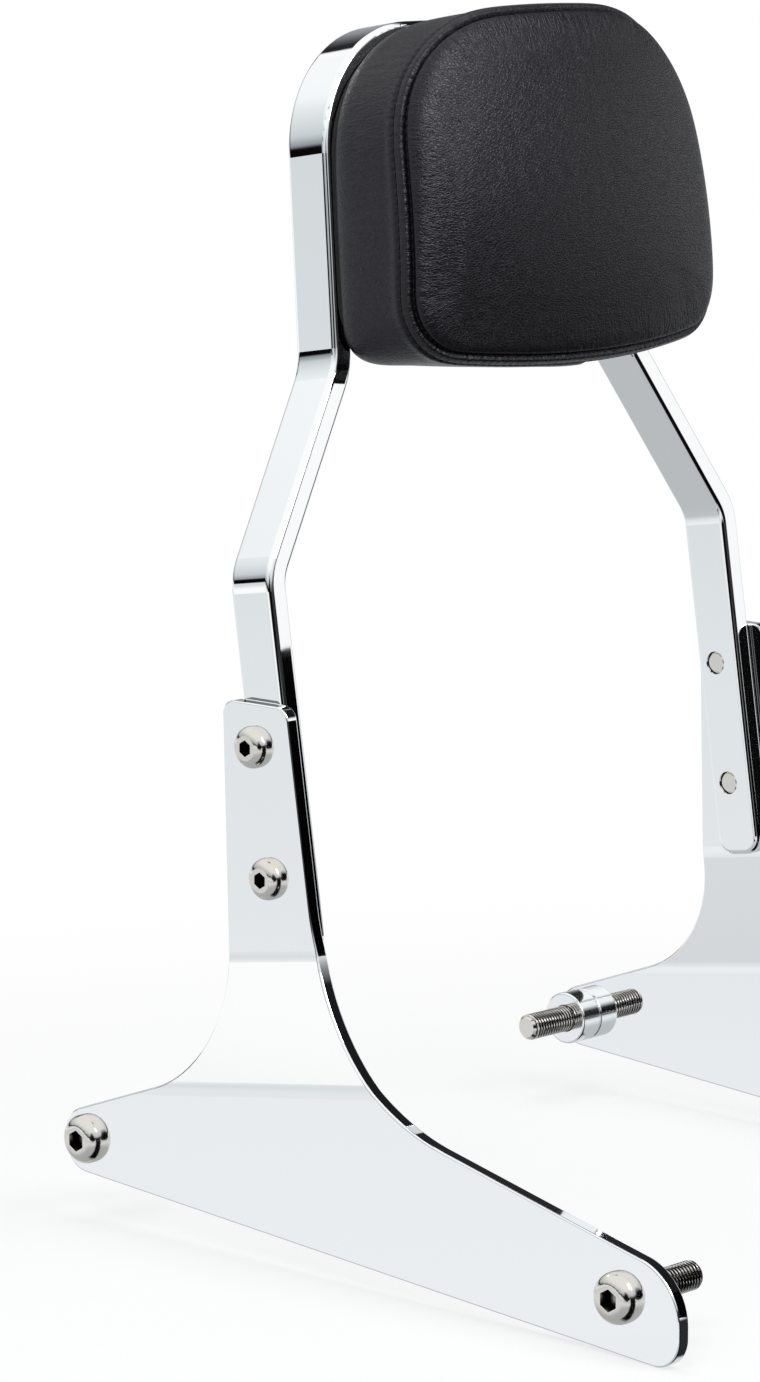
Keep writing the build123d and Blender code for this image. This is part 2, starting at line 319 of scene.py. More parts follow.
screw_parts = [heads]
thread_long = SCREW_LONG - SCREW_GRIP
thread_rows = int(thread_long / THREAD_PITCH * FLANK_STEPS)
for side in (-1, 1):
    for back, rise in SCREW_SPOTS:
        bpy.ops.object.select_all(action="DESELECT")
        bpy.ops.mesh.primitive_grid_add(
            x_subdivisions=TURN_STEPS, y_subdivisions=thread_rows + TIP_ROWS, size=1.0
        )
        free_end = bpy.context.object
        for vertex in free_end.data.vertices:
            turn = (vertex.co.x + 0.5) * math.tau
            row = round((vertex.co.y + 0.5) * (thread_rows + TIP_ROWS))
            run = min(row, thread_rows) * thread_long / thread_rows
            phase = (run / THREAD_PITCH + side * turn / math.tau) % 1.0
            flank = FLANK_SLOPE * (1 - abs(2 * phase - 1)) - ROOT_FLAT
            radius = THREAD_ROOT + (THREAD_CREST - THREAD_ROOT) * max(0.0, min(1.0, flank))
            radius = min(radius, THREAD_ROOT - TIP_POINT / 2 + (thread_long - run) * TIP_SLOPE)
            if row > thread_rows:
                radius *= (thread_rows + TIP_ROWS - row) / TIP_ROWS
            x = side * (FOOT_FACE - SCREW_GRIP + SHANK_CUT + THREAD_OVERLAP - run)
            vertex.co = (x, back + radius * math.cos(turn), rise + radius * math.sin(turn))
        free_end.data.transform(Matrix.Scale(MM, 4))
        screw_parts.append(free_end)
foot_screws = join(screw_parts)
bpy.ops.object.mode_set(mode="EDIT")
bpy.ops.mesh.select_all(action="SELECT")
bpy.ops.mesh.remove_doubles(threshold=0.002 * MM)
bpy.ops.mesh.normals_make_consistent(inside=False)
bpy.ops.object.mode_set(mode="OBJECT")
bpy.ops.object.shade_smooth_by_angle(angle=math.radians(SHARP_EDGE))
settle(foot_screws, "rail_screws_threaded", stainless)
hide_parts("rail_screws")

# Spacers: short steel collars turned on a lathe and plated, slipped over the foot screws.
# Their walls keep fine rings from the tool.
TOOL_FEED = 0.5
WAVE_UNIT = 0.314
# Plated turned steel: the same blue-white chrome, softened by the rings, one for each turn.
# A Wave texture of scale 1 repeats every WAVE_UNIT metres.
turned, tree, shader = new_finish(
    "turned_chrome", Base_Color=linear(CHROME), Metallic=1.0, Roughness=0.14
)
place = add_node(tree, "ShaderNodeTexCoord").outputs["Object"]
rings = add_node(
    tree,
    "ShaderNodeTexWave",
    {"Scale": WAVE_UNIT / (TOOL_FEED * MM), "Distortion": 0.4},
    {"Vector": place},
    bands_direction="X",
)
feed = add_node(
    tree,
    "ShaderNodeBump",
    {"Strength": 0.08, "Distance": 0.03 * MM},
    {"Height": rings.outputs["Fac"]},
)
tree.links.new(feed.outputs["Normal"], shader.inputs["Normal"])
dress(turned, "rail_spacers")

# Pad board and back sheet: a black plastic board stiffens the pad, and a thin spunbond sheet glued
# behind it hides the cover's turned-in edge. Spunbond has a grid of small pressed dimples.
BOARD = "#1B1B1C"
BACKING = "#19191A"
SPARK_GRIT = 0.8
DIMPLE_PITCH = 1.6
FIBRE_LONG = 0.5
# Moulded ABS: dull black with the fine pitting of a spark-eroded mould.
board, tree, shader = new_finish("moulded_abs", Base_Color=linear(BOARD), Roughness=0.5)
place = add_node(tree, "ShaderNodeTexCoord").outputs["Object"]
spark = add_node(
    tree, "ShaderNodeTexNoise", {"Scale": 1 / (SPARK_GRIT * MM), "Detail": 3.0}, {"Vector": place}
)
texture = add_node(
    tree,
    "ShaderNodeBump",
    {"Strength": 0.4, "Distance": 0.05 * MM},
    {"Height": spark.outputs["Fac"]},
)
tree.links.new(texture.outputs["Normal"], shader.inputs["Normal"])
dress(board, "pad_board")

# Spunbond polypropylene: matt black with a faint nap of loose fibres between the dimples.
backing, tree, shader = new_finish(
    "spunbond_cloth", Base_Color=linear(BACKING), Roughness=0.85, Sheen_Weight=0.2
)
place = add_node(tree, "ShaderNodeTexCoord").outputs["Object"]
pressed = add_node(
    tree,
    "ShaderNodeTexVoronoi",
    {"Scale": 1 / (DIMPLE_PITCH * MM), "Randomness": 0.15},
    {"Vector": place},
)
fibre = add_node(
    tree, "ShaderNodeTexNoise", {"Scale": 1 / (FIBRE_LONG * MM), "Detail": 4.0}, {"Vector": place}
)
both = add_node(
    tree,
    "ShaderNodeMath",
    links={0: pressed.outputs["Distance"], 1: fibre.outputs["Fac"]},
    operation="ADD",
)
nap = add_node(
    tree,
    "ShaderNodeBump",
    {"Strength": 0.6, "Distance": 0.25 * MM},
    {"Height": both.outputs["Value"]},
)
tree.links.new(nap.outputs["Normal"], shader.inputs["Normal"])
dress(backing, "pad_back_sheet")

# Pad cover: black expanded vinyl, cut as a crowned front panel and a side band, sewn together and
# pulled tight over moulded foam. A second row of stitches holds the seam allowance flat under the
# band.
PAD_HALF_WIDTH = 98.5
PAD_BOTTOM = 71.0
PAD_SAG = 8.5
PAD_TOP = 220.5
PAD_TOP_HALF = 84.5
PAD_CREST = 4.5
PAD_SIDE_BULGE = 1.8
PAD_LOW_CORNER = 28.0
PAD_HIGH_CORNER = 62.0
PAD_DEPTH = 66.0
PAD_MIDDLE = (PAD_BOTTOM + PAD_TOP) / 2
CROWN_RADIUS = 322.0
FRONT_ROUND = 11.0
BACK_ROUND = 3.0
BACK_PLANE = 1.15
TURN_IN = 9.0
EASE = 0.8
FRONT_DROP = 2.0
BACK_LIFT = 2.0
SEAM_ANGLE = 60.0
LOW_SEAM_ANGLE = 44.0
TOP_SEAM_ANGLE = 50.0
SEAM_CLIMB = 26.0
CLIMB_FROM = 40.0
CLIMB_OVER = 80.0
HANG_OVER = 60.0
SQUARE_BACK = 6.5
SQUARE_DEEP = 42.0
TOPSTITCH = 5.8
SIDE_END = 42.0


def arc_radius(half, rise):
    """Radius of an arc over a half chord with this rise."""
    return (half**2 + rise**2) / (2 * rise)


def meeting(first, first_r, second, second_r, near):
    """Where two circles meet, nearest to a point."""
    gap = (second - first).length
    along = (first_r**2 - second_r**2 + gap**2) / (2 * gap)
    off = math.sqrt(first_r**2 - along**2)
    way = (second - first) / gap
    spots = [first + way * along + Vector((-way.y, way.x)) * off * s for s in (-1, 1)]
    return min(spots, key=lambda spot: (spot - near).length)


def heading(way):
    """Angle of a direction on the hoop's plane."""
    return math.atan2(way.y, way.x)


# The outline's right half, from the middle of the bottom to the middle of the top, as five arcs
low = PAD_BOTTOM + PAD_SAG
high = PAD_TOP - PAD_CREST
bottom_r = arc_radius(PAD_HALF_WIDTH, PAD_SAG)
top_r = arc_radius(PAD_TOP_HALF, PAD_CREST)
side_way = Vector((PAD_TOP_HALF - PAD_HALF_WIDTH, high - low))
side_r = arc_radius(side_way.length / 2, PAD_SIDE_BULGE)
side_out = Vector((side_way.y, -side_way.x)).normalized()
bottom_c = Vector((0, PAD_BOTTOM + bottom_r))
top_c = Vector((0, PAD_TOP - top_r))
side_c = Vector(((PAD_HALF_WIDTH + PAD_TOP_HALF) / 2, (low + high) / 2))
side_c -= side_out * (side_r - PAD_SIDE_BULGE)
low_c = meeting(
    bottom_c,
    bottom_r - PAD_LOW_CORNER,
    side_c,
    side_r - PAD_LOW_CORNER,
    Vector((PAD_HALF_WIDTH, low)),
)
high_c = meeting(
    side_c,
    side_r - PAD_HIGH_CORNER,
    top_c,
    top_r - PAD_HIGH_CORNER,
    Vector((PAD_TOP_HALF, high)),
)
arcs = [
    (bottom_c, bottom_r, -math.pi / 2, heading(low_c - bottom_c)),
    (low_c, PAD_LOW_CORNER, heading(low_c - bottom_c), heading(low_c - side_c)),
    (side_c, side_r, heading(low_c - side_c), heading(high_c - side_c)),
    (high_c, PAD_HIGH_CORNER, heading(high_c - side_c), heading(high_c - top_c)),
    (top_c, top_r, heading(high_c - top_c), math.pi / 2),
]
half_round = sum(radius * (end - begin) for centre, radius, begin, end in arcs)
full_round = 2 * half_round


def outline_at(along):
    """Point and outward direction on the pad's outline, a distance along it from the bottom."""
    along %= full_round
    side = 1 if along <= half_round else -1
    left = min(along, full_round - along)
    for centre, radius, begin, end in arcs:
        if left <= radius * (end - begin) + 1e-9:
            break
        left -= radius * (end - begin)
    turn = min(begin + left / radius, end)
    out = Vector((math.cos(turn), math.sin(turn)))
    spot = centre + out * radius
    return Vector((side * spot.x, spot.y)), Vector((side * out.x, out.y))


def crown_at(spot):
    """Height of the crowned front over a point of the hoop's plane."""
    off = (spot - Vector((0, PAD_MIDDLE))).length
    return PAD_DEPTH - EASE - CROWN_RADIUS + math.sqrt(CROWN_RADIUS**2 - off**2)


def pulled(spot, forward):
    """Place of a cover point: at the bottom, the front hangs a little and the back is drawn up."""
    share = forward / PAD_DEPTH
    low_share = max(0.0, min(1.0, (PAD_MIDDLE - spot.y) / HANG_OVER))
    hang = low_share * (BACK_LIFT * (1 - share) - FRONT_DROP * share)
    return Vector((spot.x, spot.y + hang, forward))


def cover_point(along, station):
    """Point of the cover; station counts millimetres across the seam, from panel to back."""
    spot, out = outline_at(along)
    spot = spot - out * EASE
    top_share = max(0.0, out.y) ** 4
    seam_turn = SEAM_ANGLE + (LOW_SEAM_ANGLE - SEAM_ANGLE) * max(0.0, -out.y) ** 2
    seam_turn += (TOP_SEAM_ANGLE - SEAM_ANGLE) * top_share
    climb = max(0.0, min(1.0, (spot.y - PAD_BOTTOM - CLIMB_FROM) / CLIMB_OVER))
    seam_turn = math.radians(seam_turn + SEAM_CLIMB * climb * (1 - top_share))
    hub = crown_at(spot - out * FRONT_ROUND) - FRONT_ROUND
    floor = BACK_PLANE + BACK_ROUND
    angle = seam_turn + station / FRONT_ROUND
    turn = (station - SIDE_END) / BACK_ROUND
    if angle < 0:
        inset = FRONT_ROUND * (1 - angle)
        forward = crown_at(spot - out * inset)
    elif angle <= math.pi / 2:
        inset = FRONT_ROUND * (1 - math.sin(angle))
        forward = hub + FRONT_ROUND * math.cos(angle)
    elif station <= SIDE_END:
        side_start = FRONT_ROUND * (math.pi / 2 - seam_turn)
        inset = 0.0
        forward = hub + (floor - hub) * (station - side_start) / (SIDE_END - side_start)
    elif turn <= math.pi / 2:
        inset = BACK_ROUND * (1 - math.cos(turn))
        forward = floor - BACK_ROUND * math.sin(turn)
    else:
        inset = BACK_ROUND * (1 - math.pi / 2) + station - SIDE_END
        forward = BACK_PLANE
    corner = (2 * abs(out.x) * max(0.0, -out.y)) ** 2
    square = SQUARE_BACK * corner * max(0.0, 1 - forward / SQUARE_DEEP)
    return pulled(spot + out * (square - inset), forward)


# The stations crowd together at the seam and the topstitch, and run evenly over the band
LAST = SIDE_END + BACK_ROUND * math.pi / 2 + TURN_IN
BAND_FROM = 16.0
BAND_STEP = 2.4
stations = [-24.0, -21.5, -19.0, -16.8, -14.8, -12.9, -11.1, -9.4, -7.9, -6.5, -5.3, -4.2, -3.3]
stations += [-2.5, -1.8, -1.2, -0.8, -0.4, 0.0, 0.4, 0.8, 1.2, 1.8, 2.6, 3.4, 4.2, 4.8, 5.2, 5.5]
stations += [TOPSTITCH, 6.1, 6.4, 6.9, 7.6, 8.6, 9.8, 11.2, 12.6, 14.2]
stations += [BAND_FROM + BAND_STEP * step for step in range(int((LAST - BAND_FROM) / BAND_STEP))]
stations.append(LAST)
ROWS = len(stations) - 1
AROUND = 400
BUNCHED = 0.55


def run_at(share):
    """Distance along the outline for a share of the columns, which bunch at the band's joint."""
    return full_round * (share - BUNCHED * math.sin(math.tau * share) / math.tau)


# A grid is wrapped round the outline: its length follows the outline and its width the stations.
# Its map keeps, in metres, how far along and across the seam each corner lies.
bpy.ops.object.select_all(action="DESELECT")
bpy.ops.mesh.primitive_grid_add(
    x_subdivisions=AROUND, y_subdivisions=ROWS, size=1.0, calc_uvs=True
)
cover = bpy.context.object
seam_map = cover.data.uv_layers.active
seam_map.name = "seam_map"
for corner in seam_map.data:
    corner.uv = (run_at(corner.uv.x) * MM, stations[round(corner.uv.y * ROWS)] * MM)
for vertex in cover.data.vertices:
    row = round((vertex.co.y + 0.5) * ROWS)
    vertex.co = cover_point(run_at(vertex.co.x + 0.5), stations[row])
rim = [cover_point(run_at(n / AROUND), stations[0]) for n in range(AROUND)]
bpy.ops.object.mode_set(mode="EDIT")
bpy.ops.mesh.select_all(action="SELECT")
bpy.ops.mesh.remove_doubles(threshold=0.01)
bpy.ops.mesh.select_all(action="DESELECT")
bpy.ops.object.mode_set(mode="OBJECT")
wrapped = len(cover.data.vertices)

# The front panel's middle is filled with a grid of its own and raised to the crown
rim_keys = {(round(point.x, 2), round(point.y, 2), round(point.z, 2)) for point in rim}
on_rim = [tuple(round(c, 2) for c in vertex.co) in rim_keys for vertex in cover.data.vertices]
for edge in cover.data.edges:
    edge.select = all(on_rim[i] for i in edge.vertices)
bpy.ops.object.mode_set(mode="EDIT")
bpy.ops.mesh.select_mode(type="EDGE")
bpy.ops.mesh.fill_grid(span=AROUND // 4, offset=AROUND // 8)
bpy.ops.mesh.select_all(action="SELECT")
bpy.ops.mesh.normals_make_consistent(inside=False)
bpy.ops.object.mode_set(mode="OBJECT")
for vertex in cover.data.vertices[wrapped:]:
    flat = Vector((vertex.co.x, vertex.co.y))
    settled = pulled(flat, crown_at(flat))
    flat.y += flat.y - settled.y
    vertex.co = pulled(flat, crown_at(flat))

# Place of each wrapped vertex along and across the seam; the fill lies far from it
across = [None] * len(cover.data.vertices)
around = [0.0] * len(cover.data.vertices)
seam_map = cover.data.uv_layers["seam_map"]
for face in cover.data.polygons:
    filled = any(i >= wrapped for i in face.vertices)
    for loop in face.loop_indices:
        vertex = cover.data.loops[loop].vertex_index
        if filled:
            seam_map.data[loop].uv = (0.0, -1.0)
        else:
            across[vertex] = seam_map.data[loop].uv.y / MM
            around[vertex] = seam_map.data[loop].uv.x / MM % full_round
cover.data.transform(on_hoop)

# The sewn lines and the back hold still while air swells the panel and band, as foam does
SWELL_CAP = 2.2
SWELL_FADES = 18.0
SWELL_ENDS = 34.0
SEWN_WIDE = 2.5
HELD_FROM = 28.0
HELD_OVER = 12.0
PANEL_SMOOTH = -4.0
BAND_SMOOTH = 11.0
AIR_FRAMES = 20
held = cover.vertex_groups.new(name="sewn")
for vertex, station in enumerate(across):
    if station is not None:
        nearest = min(abs(station), abs(station - TOPSTITCH))
        seam = math.exp(-((nearest / SEWN_WIDE) ** 2))
        back = max(0.0, min(1.0, (station - HELD_FROM) / HELD_OVER))
        held.add([vertex], max(seam, back), "REPLACE")
still = [vertex.co.copy() for vertex in cover.data.vertices]
only(cover)
air = cover.modifiers.new("air", "CLOTH")
air.settings.quality = 5
air.settings.mass = 0.3
air.settings.tension_stiffness = 20
air.settings.compression_stiffness = 20
air.settings.shear_stiffness = 8
air.settings.bending_stiffness = 4
air.settings.use_pressure = True
air.settings.uniform_pressure_force = 4
air.settings.vertex_group_mass = "sewn"
air.settings.effector_weights.gravity = 0
air.collision_settings.use_collision = False
for step in range(1, AIR_FRAMES + 1):
    bpy.context.scene.frame_set(step)
bpy.ops.object.modifier_apply(modifier="air")
bpy.context.scene.frame_set(1)
for vertex, start, station in zip(cover.data.vertices, still, across):
    move = vertex.co - start
    kept = min(1.0, SWELL_CAP * MM / max(move.length, 1e-9))
    faded = ((station or 0.0) - SWELL_FADES) / (SWELL_ENDS - SWELL_FADES)
    kept *= 1.0 - max(0.0, min(1.0, faded))
    vertex.co = start + move * kept

# The foam is smooth under panel and band, so the folds that the air left there are drawn out
for vertex, station in zip(cover.data.vertices, across):
    on_panel = station is None or station < PANEL_SMOOTH
    vertex.select = on_panel or BAND_SMOOTH < station < SWELL_ENDS
bpy.ops.object.mode_set(mode="EDIT")
bpy.ops.mesh.select_mode(type="VERT")
bpy.ops.mesh.vertices_smooth(factor=0.5, repeat=40)
bpy.ops.object.mode_set(mode="OBJECT")

# Seams: the panel rolls down into its seam, the doubled strip beside it stands proud up to the
# topstitch, and the band's ends meet in a sewn joint at the middle of the bottom
SEAM_DEEP = 2.6
SEAM_WIDE = 0.75
STRIP_RAISED = 0.9
TOP_DEEP = 1.3
TOP_WIDE = 0.45
ROLL = 0.5
JOINT_AT = 2.0
JOINT_DEEP = 1.2
JOINT_HANG = 1.3


def eased(value, begin, end):
    """Smooth step from 0 at begin to 1 at end."""
    share = max(0.0, min(1.0, (value - begin) / (end - begin)))
    return share * share * (3 - 2 * share)


def seam_height(along, station):
    """How far the cover stands out at a place along and across its seams."""
    seam = -SEAM_DEEP * math.exp(-((station / SEAM_WIDE) ** 2))
    strip = STRIP_RAISED * eased(station, 0.1, 1.4)
    strip *= 1 - eased(station, TOPSTITCH, TOPSTITCH + 5.0)
    top = -TOP_DEEP * math.exp(-(((station - TOPSTITCH) / TOP_WIDE) ** 2))
    roll = ROLL * (1 - math.exp(min(station, 0.0) / 1.2)) * math.exp(min(station, 0.0) / 8.0)
    off = (along - JOINT_AT + half_round) % full_round - half_round
    on_band = eased(station, TOPSTITCH, TOPSTITCH + 3.0) * (1 - eased(station, 26.0, 46.0))
    joint = -JOINT_DEEP * math.exp(-((off / 0.8) ** 2))
    hang = JOINT_HANG * math.exp(-((max(0.0, -off - 6.0) / 26.0) ** 2)) * (off < 0)
    return seam + strip + top + roll + on_band * (joint + hang)


normals = [vertex.normal.copy() for vertex in cover.data.vertices]
for vertex, normal, along, station in zip(cover.data.vertices, normals, around, across):
    if station is not None:
        vertex.co += normal * seam_height(along, station) * MM
only(cover)
bpy.ops.object.shade_smooth()


def sewn_row(station):
    """The cover's points and outward directions along one station, in order round the pad."""
    row = []
    for vertex, along, here in zip(cover.data.vertices, around, across):
        if here is not None and abs(here - station) < 0.02:
            row.append((along, vertex.co.copy(), vertex.normal.copy()))
    return sorted(row, key=lambda spot: spot[0])


seam_row = sewn_row(0.0)
top_row = sewn_row(TOPSTITCH)
fine = cover.modifiers.new("fine", "SUBSURF")
fine.levels = 1
fine.render_levels = 1
bpy.ops.object.modifier_apply(modifier="fine")

# Expanded vinyl: semi-matt black with an embossed hide grain about a millimetre across, short
# creases that run out from the seam where the cover is pulled, and a pucker at each stitch. The
# grain is drawn a little coarse to show.
VINYL = "#0C0B0E"
SHEEN = "#EDEAF6"
GRAIN = 1.0
CREASE_WIDE = 2.6
CREASE_LONG = 12.0
PULL_FROM = -24.0
PULL_FULL = -4.0
DRIFT_LONG = 6.0
DRIFT_WIDE = 2.5
PUCKER_NEAR = 0.8
PUCKER_FAR = 3.6
STITCHES = round(full_round / 3.6)
PITCH = full_round / STITCHES
vinyl, tree, shader = new_finish(
    "grained_vinyl", Base_Color=linear(VINYL), Specular_IOR_Level=0.5, Specular_Tint=linear(SHEEN)
)
place = add_node(tree, "ShaderNodeTexCoord")
drift = add_node(
    tree,
    "ShaderNodeTexNoise",
    {"Scale": 1 / (DRIFT_LONG * MM), "Detail": 2.0},
    {"Vector": place.outputs["Object"]},
)
wander = add_node(
    tree,
    "ShaderNodeVectorMath",
    {"Scale": DRIFT_WIDE * MM},
    {0: drift.outputs["Color"]},
    operation="SCALE",
)
bent = add_node(
    tree,
    "ShaderNodeVectorMath",
    links={0: place.outputs["Object"], 1: wander.outputs["Vector"]},
    operation="ADD",
)
stretch = add_node(
    tree,
    "ShaderNodeMapping",
    {"Scale": (0.55, 0.55, 1.0)},
    {"Vector": bent.outputs["Vector"]},
)
hide = add_node(
    tree,
    "ShaderNodeTexVoronoi",
    {"Scale": 1 / (GRAIN * MM)},
    {"Vector": stretch.outputs["Vector"]},
    feature="DISTANCE_TO_EDGE",
)
pebble = add_node(
    tree,
    "ShaderNodeMapRange",
    {"From Max": 0.18},
    {"Value": hide.outputs["Distance"]},
)
sewing = add_node(tree, "ShaderNodeUVMap", uv_map="seam_map").outputs["UV"]
seam_way = add_node(tree, "ShaderNodeSeparateXYZ", links={"Vector": sewing})
lines = add_node(
    tree,
    "ShaderNodeMapping",
    {"Scale": (1 / (CREASE_WIDE * MM), 1 / (CREASE_LONG * MM), 1.0)},
    {"Vector": sewing},
)
crease = add_node(
    tree,
    "ShaderNodeTexNoise",
    {"Scale": 1.0, "Detail": 2.0, "Roughness": 0.5, "Distortion": 0.8},
    {"Vector": lines.outputs["Vector"]},
)
centred = add_node(
    tree, "ShaderNodeMath", {1: 0.5}, {0: crease.outputs["Fac"]}, operation="SUBTRACT"
)
valley = add_node(
    tree, "ShaderNodeMath", links={0: centred.outputs["Value"]}, operation="ABSOLUTE"
)
furrow = add_node(
    tree, "ShaderNodeMapRange", {"From Max": 0.1}, {"Value": valley.outputs["Value"]}
)
pull = add_node(
    tree,
    "ShaderNodeMapRange",
    {"From Min": PULL_FROM * MM, "From Max": PULL_FULL * MM, "To Max": 0.7},
    {"Value": seam_way.outputs["Y"]},
)
drawn = add_node(
    tree,
    "ShaderNodeMath",
    links={0: furrow.outputs["Result"], 1: pull.outputs["Result"]},
    operation="MULTIPLY",
)
stitch_turn = add_node(
    tree,
    "ShaderNodeMath",
    {1: math.tau / (PITCH * MM)},
    {0: seam_way.outputs["X"]},
    operation="MULTIPLY",
)
stitch_wave = add_node(
    tree, "ShaderNodeMath", links={0: stitch_turn.outputs["Value"]}, operation="COSINE"
)
relief = add_node(
    tree,
    "ShaderNodeMath",
    {1: 0.35},
    {0: pebble.outputs["Result"], 2: drawn.outputs["Value"]},
    operation="MULTIPLY_ADD",
)
for station, strength in ((0.0, -0.35), (TOPSTITCH, -0.45)):
    offset = add_node(
        tree, "ShaderNodeMath", {1: station * MM}, {0: seam_way.outputs["Y"]}, operation="SUBTRACT"
    )
    apart = add_node(
        tree, "ShaderNodeMath", links={0: offset.outputs["Value"]}, operation="ABSOLUTE"
    )
    near = add_node(
        tree,
        "ShaderNodeMapRange",
        {
            "From Min": PUCKER_NEAR * MM,
            "From Max": PUCKER_FAR * MM,
            "To Min": strength,
            "To Max": 0.0,
        },
        {"Value": apart.outputs["Value"]},
    )
    relief = add_node(
        tree,
        "ShaderNodeMath",
        links={
            0: stitch_wave.outputs["Value"],
            1: near.outputs["Result"],
            2: relief.outputs["Value"],
        },
        operation="MULTIPLY_ADD",
    )
grain = add_node(
    tree,
    "ShaderNodeBump",
    {"Strength": 0.5, "Distance": 0.4 * MM},
    {"Height": relief.outputs["Value"]},
)
tree.links.new(grain.outputs["Normal"], shader.inputs["Normal"])
gloss = add_node(
    tree,
    "ShaderNodeMapRange",
    {"To Min": 0.42, "To Max": 0.33},
    {"Value": pebble.outputs["Result"]},
)
tree.links.new(gloss.outputs["Result"], shader.inputs["Roughness"])
settle(cover, "pad_cover", vinyl)
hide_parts("pad_front_panel", "pad_side_band", "pad_foam")

# Seam thread: bonded black polyester, lockstitched by machine in two rows round the pad.
# The inner row closes the seam, and the outer one holds its allowance down, with a bar tack at the
# band's joint.
STITCH_LONG = 2.8
THREAD_WIDE = 0.85
THREAD_HIGH = 0.7
STITCH_DIP = 0.35
SEAM_LIFT = 0.7
TOP_LIFT = 0.5
TACK_ROWS = (-1.2, -0.4, 0.4, 1.2)
THREAD = "#060607"
PLY_LONG = 0.5
bpy.ops.object.select_all(action="DESELECT")
bpy.ops.mesh.primitive_uv_sphere_add(segments=8, ring_count=5, radius=0.5)
stitch = bpy.context.object
bpy.ops.object.mode_set(mode="EDIT")
bpy.ops.transform.rotate(value=math.pi / 2, orient_axis="Y", center_override=(0, 0, 0))
bpy.ops.transform.resize(value=(STITCH_LONG, THREAD_WIDE, THREAD_HIGH))
bpy.ops.object.mode_set(mode="OBJECT")
for vertex in stitch.data.vertices:
    vertex.co.z -= STITCH_DIP * (2 * vertex.co.x / STITCH_LONG) ** 4
bpy.ops.object.shade_smooth()
sewn = []


def lay_stitch(middle, way, out, lift, aside=0.0):
    """Lays a copy of the stitch on the cover, along the seam and with its back outwards."""
    beside = out.cross(way)
    turn = Matrix((way, beside, out)).transposed().to_4x4()
    seat = Matrix.Translation(middle + (out * lift + beside * aside) * MM)
    laid = stitch.copy()
    laid.data = stitch.data.copy()
    laid.data.transform(seat @ turn @ Matrix.Scale(MM, 4))
    bpy.context.collection.objects.link(laid)
    sewn.append(laid)


for row, lift in ((seam_row, SEAM_LIFT), (top_row, TOP_LIFT)):
    for n in range(STITCHES):
        along = (n + 0.5) * PITCH
        after = next((i for i, spot in enumerate(row) if spot[0] >= along), 0)
        before = row[after - 1]
        span = (row[after][0] - before[0]) % full_round
        share = (along - before[0]) / span
        middle = before[1].lerp(row[after][1], share)
        out = before[2].lerp(row[after][2], share).normalized()
        lay_stitch(middle, (row[after][1] - before[1]).normalized(), out, lift)
tack = min(top_row, key=lambda spot: abs(spot[0] - JOINT_AT))
tack_way = (top_row[1][1] - top_row[0][1]).normalized()
for aside in TACK_ROWS:
    lay_stitch(tack[1], tack_way, tack[2], TOP_LIFT, aside)
bpy.data.objects.remove(stitch)
stitching = join(sewn)
# Bonded polyester: dull black, its twisted plies glued flat so that they only just show.
polyester, tree, shader = new_finish("bonded_polyester", Base_Color=linear(THREAD), Roughness=0.65)
place = add_node(tree, "ShaderNodeTexCoord").outputs["Object"]
ply = add_node(
    tree, "ShaderNodeTexNoise", {"Scale": 1 / (PLY_LONG * MM), "Detail": 2.0}, {"Vector": place}
)
twist = add_node(
    tree,
    "ShaderNodeBump",
    {"Strength": 0.5, "Distance": 0.1 * MM},
    {"Height": ply.outputs["Fac"]},
)
tree.links.new(twist.outputs["Normal"], shader.inputs["Normal"])
settle(stitching, "pad_stitching", polyester)

# Studio: a plain pale floor under the part, a white tent with dark gaps that draw the edges of the
# chrome, a black card and soft lamps. None of it belongs to the part.
FLOOR = "#EDEFF1"
FLOOR_SIZE = 14.0
bpy.ops.object.select_all(action="DESELECT")
bpy.ops.mesh.primitive_plane_add(size=FLOOR_SIZE, location=(0, 0, cad_box[0].z))
floor = bpy.context.object
floor.name = "studio_floor"
floor.visible_glossy = False
paper, tree, shader = new_finish("paper_floor", Base_Color=linear(FLOOR), Roughness=0.9)
path = add_node(tree, "ShaderNodeLightPath")
place = add_node(tree, "ShaderNodeTexCoord").outputs["Object"]
from_part = add_node(
    tree, "ShaderNodeVectorMath", {1: (0.0, 0.15, 0.0)}, {0: place}, operation="DISTANCE"
)
far = add_node(
    tree,
    "ShaderNodeMapRange",
    {"From Min": 0.2, "From Max": 0.7, "To Min": 0.75, "To Max": 1.0},
    {"Value": from_part.outputs["Value"]},
    interpolation_type="SMOOTHSTEP",
)
paled = add_node(
    tree,
    "ShaderNodeMath",
    links={0: path.outputs["Is Camera Ray"], 1: far.outputs["Result"]},
    operation="MULTIPLY",
)
glow = add_node(tree, "ShaderNodeEmission", {"Color": linear("#FFFFFF"), "Strength": 1.0})
blend = add_node(
    tree,
    "ShaderNodeMixShader",
    links={0: paled.outputs["Value"], 1: shader.outputs["BSDF"], 2: glow.outputs["Emission"]},
)
tree.links.new(blend.outputs["Shader"], tree.nodes["Material Output"].inputs["Surface"])
floor.data.materials.append(paper)

# A black card in front of the uprights' lower ends, seen only in the chrome
CARD_AT = (0.254, -0.19, 0.05)
CARD_HALF = (0.17, 0.21)
CARD_TURN = 46.0
bpy.ops.mesh.primitive_circle_add(vertices=48, radius=1.0, fill_type="NGON")
card = bpy.context.object
card.name = "studio_card"
upright = Matrix.Rotation(math.radians(90), 4, "X")
stand = Matrix.Translation(CARD_AT) @ Matrix.Rotation(math.radians(CARD_TURN), 4, "Z") @ upright
card.data.transform(stand @ Matrix.Diagonal((*CARD_HALF, 1.0, 1.0)))
velvet, tree, shader = new_finish(
    "black_velvet", Base_Color=linear("#050505"), Roughness=1.0, Specular_IOR_Level=0.0
)
card.data.materials.append(velvet)
card.visible_camera = False
card.visible_diffuse = False
card.visible_shadow = False

